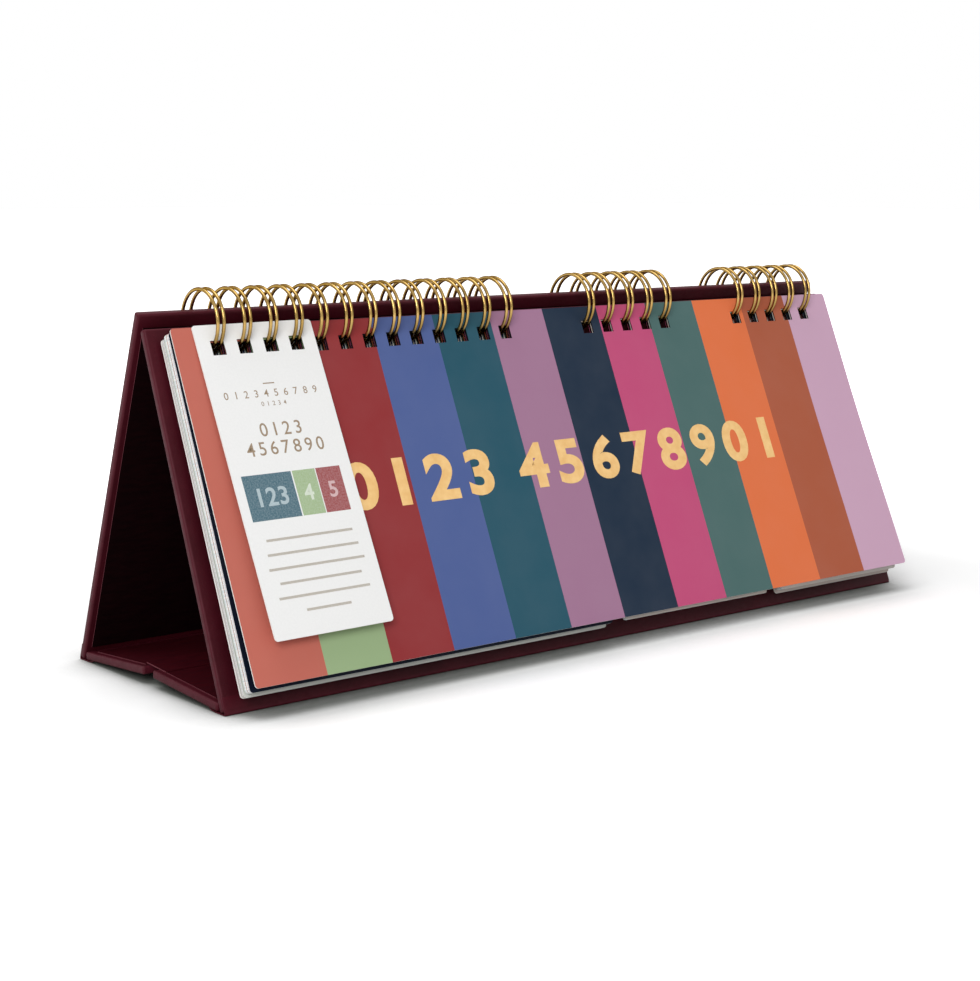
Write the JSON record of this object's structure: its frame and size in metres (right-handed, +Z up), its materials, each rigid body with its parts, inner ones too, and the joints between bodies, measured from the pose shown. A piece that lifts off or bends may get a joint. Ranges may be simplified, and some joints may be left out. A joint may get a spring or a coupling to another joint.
{
  "type": "perpetual desk calendar",
  "caption": "Folding tent easel with a label, a striped cover and month, tens and ones leaves that turn on gold double-loop wire.",
  "frame": {"origin": "on the desk, under the middle of the calendar", "axes": "+X along the calendar, +Y from the front to the back, +Z up"},
  "size_m": [0.272, 0.0872, 0.11],
  "materials": {
    "leatherette": "fine-grained burgundy book cloth, satin",
    "greyboard": "raw grey board",
    "lining_paper": "dark burgundy lining paper",
    "gold_wire": "bright gold coated wire",
    "label_stock": "uncoated white card",
    "cover_stock": "matt card with twelve colour stripes and gold foil",
    "month_leaf_stock": "matt coloured card, one colour a leaf",
    "tens_leaf_stock": "matt coloured card, one colour a leaf",
    "ones_leaf_stock": "matt coloured card, one colour a leaf"
  },
  "bodies": {
    "easel_front": {"front_core": "greyboard", "front_skin": "leatherette", "front_lining": "lining_paper", "front_crease": "leatherette", "month_wire": "gold_wire", "tens_wire": "gold_wire", "ones_wire": "gold_wire"},
    "easel_back": {"back_core": "greyboard", "back_skin": "leatherette", "back_lining": "lining_paper", "rear_crease": "leatherette"},
    "base_front": {"base_front_core": "greyboard", "base_front_skin": "leatherette", "base_front_lining": "lining_paper", "middle_crease": "lining_paper"},
    "base_back": {"base_back_core": "greyboard", "base_back_skin": "leatherette", "base_back_lining": "lining_paper"},
    "label": {"label_card": "label_stock"},
    "cover": {"cover_card": "cover_stock"},
    "month_1": {"month_leaf_1": "month_leaf_stock"},
    "month_2": {"month_leaf_2": "month_leaf_stock"},
    "month_3": {"month_leaf_3": "month_leaf_stock"},
    "month_4": {"month_leaf_4": "month_leaf_stock"},
    "month_5": {"month_leaf_5": "month_leaf_stock"},
    "month_6": {"month_leaf_6": "month_leaf_stock"},
    "month_7": {"month_leaf_7": "month_leaf_stock"},
    "month_8": {"month_leaf_8": "month_leaf_stock"},
    "month_9": {"month_leaf_9": "month_leaf_stock"},
    "month_10": {"month_leaf_10": "month_leaf_stock"},
    "month_11": {"month_leaf_11": "month_leaf_stock"},
    "month_12": {"month_leaf_12": "month_leaf_stock"},
    "tens_1": {"tens_leaf_1": "tens_leaf_stock"},
    "tens_2": {"tens_leaf_2": "tens_leaf_stock"},
    "tens_3": {"tens_leaf_3": "tens_leaf_stock"},
    "tens_4": {"tens_leaf_4": "tens_leaf_stock"},
    "ones_1": {"ones_leaf_1": "ones_leaf_stock"},
    "ones_2": {"ones_leaf_2": "ones_leaf_stock"},
    "ones_3": {"ones_leaf_3": "ones_leaf_stock"},
    "ones_4": {"ones_leaf_4": "ones_leaf_stock"},
    "ones_5": {"ones_leaf_5": "ones_leaf_stock"},
    "ones_6": {"ones_leaf_6": "ones_leaf_stock"},
    "ones_7": {"ones_leaf_7": "ones_leaf_stock"},
    "ones_8": {"ones_leaf_8": "ones_leaf_stock"},
    "ones_9": {"ones_leaf_9": "ones_leaf_stock"},
    "ones_10": {"ones_leaf_10": "ones_leaf_stock"}
  },
  "joints": [
    {"name": "back_board_fold", "type": "hinge", "parent": "easel_front", "child": "easel_back", "pos_m": [0, 0.00041, 0.1003], "axis": [-1, 0, 0], "range_deg": [0, 10]},
    {"name": "base_front_fold", "type": "hinge", "parent": "easel_front", "child": "base_front", "pos_m": [0, -0.03158, 0.00285], "axis": [1, 0, 0], "range_deg": [0, 32]},
    {"name": "base_back_fold", "type": "hinge", "parent": "easel_back", "child": "base_back", "pos_m": [0, 0.04047, 0.00285], "axis": [-1, 0, 0], "range_deg": [0, 25]},
    {"name": "label_turn", "type": "hinge", "parent": "easel_front", "child": "label", "pos_m": [0, 0.00041, 0.1003], "axis": [-1, 0, 0], "range_deg": [0, 160]},
    {"name": "cover_turn", "type": "hinge", "parent": "easel_front", "child": "cover", "pos_m": [0, 0.00041, 0.1003], "axis": [-1, 0, 0], "range_deg": [0, 156.8]},
    {"name": "month_1_turn", "type": "hinge", "parent": "easel_front", "child": "month_1", "pos_m": [0, 0.00041, 0.1003], "axis": [-1, 0, 0], "range_deg": [0, 154.4]},
    {"name": "month_2_turn", "type": "hinge", "parent": "easel_front", "child": "month_2", "pos_m": [0, 0.00041, 0.1003], "axis": [-1, 0, 0], "range_deg": [0, 152]},
    {"name": "month_3_turn", "type": "hinge", "parent": "easel_front", "child": "month_3", "pos_m": [0, 0.00041, 0.1003], "axis": [-1, 0, 0], "range_deg": [0, 149.6]},
    {"name": "month_4_turn", "type": "hinge", "parent": "easel_front", "child": "month_4", "pos_m": [0, 0.00041, 0.1003], "axis": [-1, 0, 0], "range_deg": [0, 147.2]},
    {"name": "month_5_turn", "type": "hinge", "parent": "easel_front", "child": "month_5", "pos_m": [0, 0.00041, 0.1003], "axis": [-1, 0, 0], "range_deg": [0, 144.8]},
    {"name": "month_6_turn", "type": "hinge", "parent": "easel_front", "child": "month_6", "pos_m": [0, 0.00041, 0.1003], "axis": [-1, 0, 0], "range_deg": [0, 142.4]},
    {"name": "month_7_turn", "type": "hinge", "parent": "easel_front", "child": "month_7", "pos_m": [0, 0.00041, 0.1003], "axis": [-1, 0, 0], "range_deg": [0, 140]},
    {"name": "month_8_turn", "type": "hinge", "parent": "easel_front", "child": "month_8", "pos_m": [0, 0.00041, 0.1003], "axis": [-1, 0, 0], "range_deg": [0, 137.6]},
    {"name": "month_9_turn", "type": "hinge", "parent": "easel_front", "child": "month_9", "pos_m": [0, 0.00041, 0.1003], "axis": [-1, 0, 0], "range_deg": [0, 135.2]},
    {"name": "month_10_turn", "type": "hinge", "parent": "easel_front", "child": "month_10", "pos_m": [0, 0.00041, 0.1003], "axis": [-1, 0, 0], "range_deg": [0, 132.8]},
    {"name": "month_11_turn", "type": "hinge", "parent": "easel_front", "child": "month_11", "pos_m": [0, 0.00041, 0.1003], "axis": [-1, 0, 0], "range_deg": [0, 130.4]},
    {"name": "month_12_turn", "type": "hinge", "parent": "easel_front", "child": "month_12", "pos_m": [0, 0.00041, 0.1003], "axis": [-1, 0, 0], "range_deg": [0, 128]},
    {"name": "tens_1_turn", "type": "hinge", "parent": "easel_front", "child": "tens_1", "pos_m": [0, 0.00041, 0.1003], "axis": [-1, 0, 0], "range_deg": [0, 154.4]},
    {"name": "tens_2_turn", "type": "hinge", "parent": "easel_front", "child": "tens_2", "pos_m": [0, 0.00041, 0.1003], "axis": [-1, 0, 0], "range_deg": [0, 152]},
    {"name": "tens_3_turn", "type": "hinge", "parent": "easel_front", "child": "tens_3", "pos_m": [0, 0.00041, 0.1003], "axis": [-1, 0, 0], "range_deg": [0, 149.6]},
    {"name": "tens_4_turn", "type": "hinge", "parent": "easel_front", "child": "tens_4", "pos_m": [0, 0.00041, 0.1003], "axis": [-1, 0, 0], "range_deg": [0, 147.2]},
    {"name": "ones_1_turn", "type": "hinge", "parent": "easel_front", "child": "ones_1", "pos_m": [0, 0.00041, 0.1003], "axis": [-1, 0, 0], "range_deg": [0, 154.4]},
    {"name": "ones_2_turn", "type": "hinge", "parent": "easel_front", "child": "ones_2", "pos_m": [0, 0.00041, 0.1003], "axis": [-1, 0, 0], "range_deg": [0, 152]},
    {"name": "ones_3_turn", "type": "hinge", "parent": "easel_front", "child": "ones_3", "pos_m": [0, 0.00041, 0.1003], "axis": [-1, 0, 0], "range_deg": [0, 149.6]},
    {"name": "ones_4_turn", "type": "hinge", "parent": "easel_front", "child": "ones_4", "pos_m": [0, 0.00041, 0.1003], "axis": [-1, 0, 0], "range_deg": [0, 147.2]},
    {"name": "ones_5_turn", "type": "hinge", "parent": "easel_front", "child": "ones_5", "pos_m": [0, 0.00041, 0.1003], "axis": [-1, 0, 0], "range_deg": [0, 144.8]},
    {"name": "ones_6_turn", "type": "hinge", "parent": "easel_front", "child": "ones_6", "pos_m": [0, 0.00041, 0.1003], "axis": [-1, 0, 0], "range_deg": [0, 142.4]},
    {"name": "ones_7_turn", "type": "hinge", "parent": "easel_front", "child": "ones_7", "pos_m": [0, 0.00041, 0.1003], "axis": [-1, 0, 0], "range_deg": [0, 140]},
    {"name": "ones_8_turn", "type": "hinge", "parent": "easel_front", "child": "ones_8", "pos_m": [0, 0.00041, 0.1003], "axis": [-1, 0, 0], "range_deg": [0, 137.6]},
    {"name": "ones_9_turn", "type": "hinge", "parent": "easel_front", "child": "ones_9", "pos_m": [0, 0.00041, 0.1003], "axis": [-1, 0, 0], "range_deg": [0, 135.2]},
    {"name": "ones_10_turn", "type": "hinge", "parent": "easel_front", "child": "ones_10", "pos_m": [0, 0.00041, 0.1003], "axis": [-1, 0, 0], "range_deg": [0, 132.8]}
  ],
  "couplings": [
    {"joint": "base_front_fold", "follows": "back_board_fold", "ratio": 3.2},
    {"joint": "base_back_fold", "follows": "back_board_fold", "ratio": 2.5},
    {"joint": "cover_turn", "follows": "label_turn", "ratio": 0.98},
    {"joint": "month_1_turn", "follows": "label_turn", "ratio": 0.965},
    {"joint": "month_2_turn", "follows": "label_turn", "ratio": 0.95},
    {"joint": "month_3_turn", "follows": "label_turn", "ratio": 0.935},
    {"joint": "month_4_turn", "follows": "label_turn", "ratio": 0.92},
    {"joint": "month_5_turn", "follows": "label_turn", "ratio": 0.905},
    {"joint": "month_6_turn", "follows": "label_turn", "ratio": 0.89},
    {"joint": "month_7_turn", "follows": "label_turn", "ratio": 0.875},
    {"joint": "month_8_turn", "follows": "label_turn", "ratio": 0.86},
    {"joint": "month_9_turn", "follows": "label_turn", "ratio": 0.845},
    {"joint": "month_10_turn", "follows": "label_turn", "ratio": 0.83},
    {"joint": "month_11_turn", "follows": "label_turn", "ratio": 0.815},
    {"joint": "month_12_turn", "follows": "label_turn", "ratio": 0.8},
    {"joint": "tens_1_turn", "follows": "label_turn", "ratio": 0.965},
    {"joint": "tens_2_turn", "follows": "label_turn", "ratio": 0.95},
    {"joint": "tens_3_turn", "follows": "label_turn", "ratio": 0.935},
    {"joint": "tens_4_turn", "follows": "label_turn", "ratio": 0.92},
    {"joint": "ones_1_turn", "follows": "label_turn", "ratio": 0.965},
    {"joint": "ones_2_turn", "follows": "label_turn", "ratio": 0.95},
    {"joint": "ones_3_turn", "follows": "label_turn", "ratio": 0.935},
    {"joint": "ones_4_turn", "follows": "label_turn", "ratio": 0.92},
    {"joint": "ones_5_turn", "follows": "label_turn", "ratio": 0.905},
    {"joint": "ones_6_turn", "follows": "label_turn", "ratio": 0.89},
    {"joint": "ones_7_turn", "follows": "label_turn", "ratio": 0.875},
    {"joint": "ones_8_turn", "follows": "label_turn", "ratio": 0.86},
    {"joint": "ones_9_turn", "follows": "label_turn", "ratio": 0.845},
    {"joint": "ones_10_turn", "follows": "label_turn", "ratio": 0.83}
  ]
}
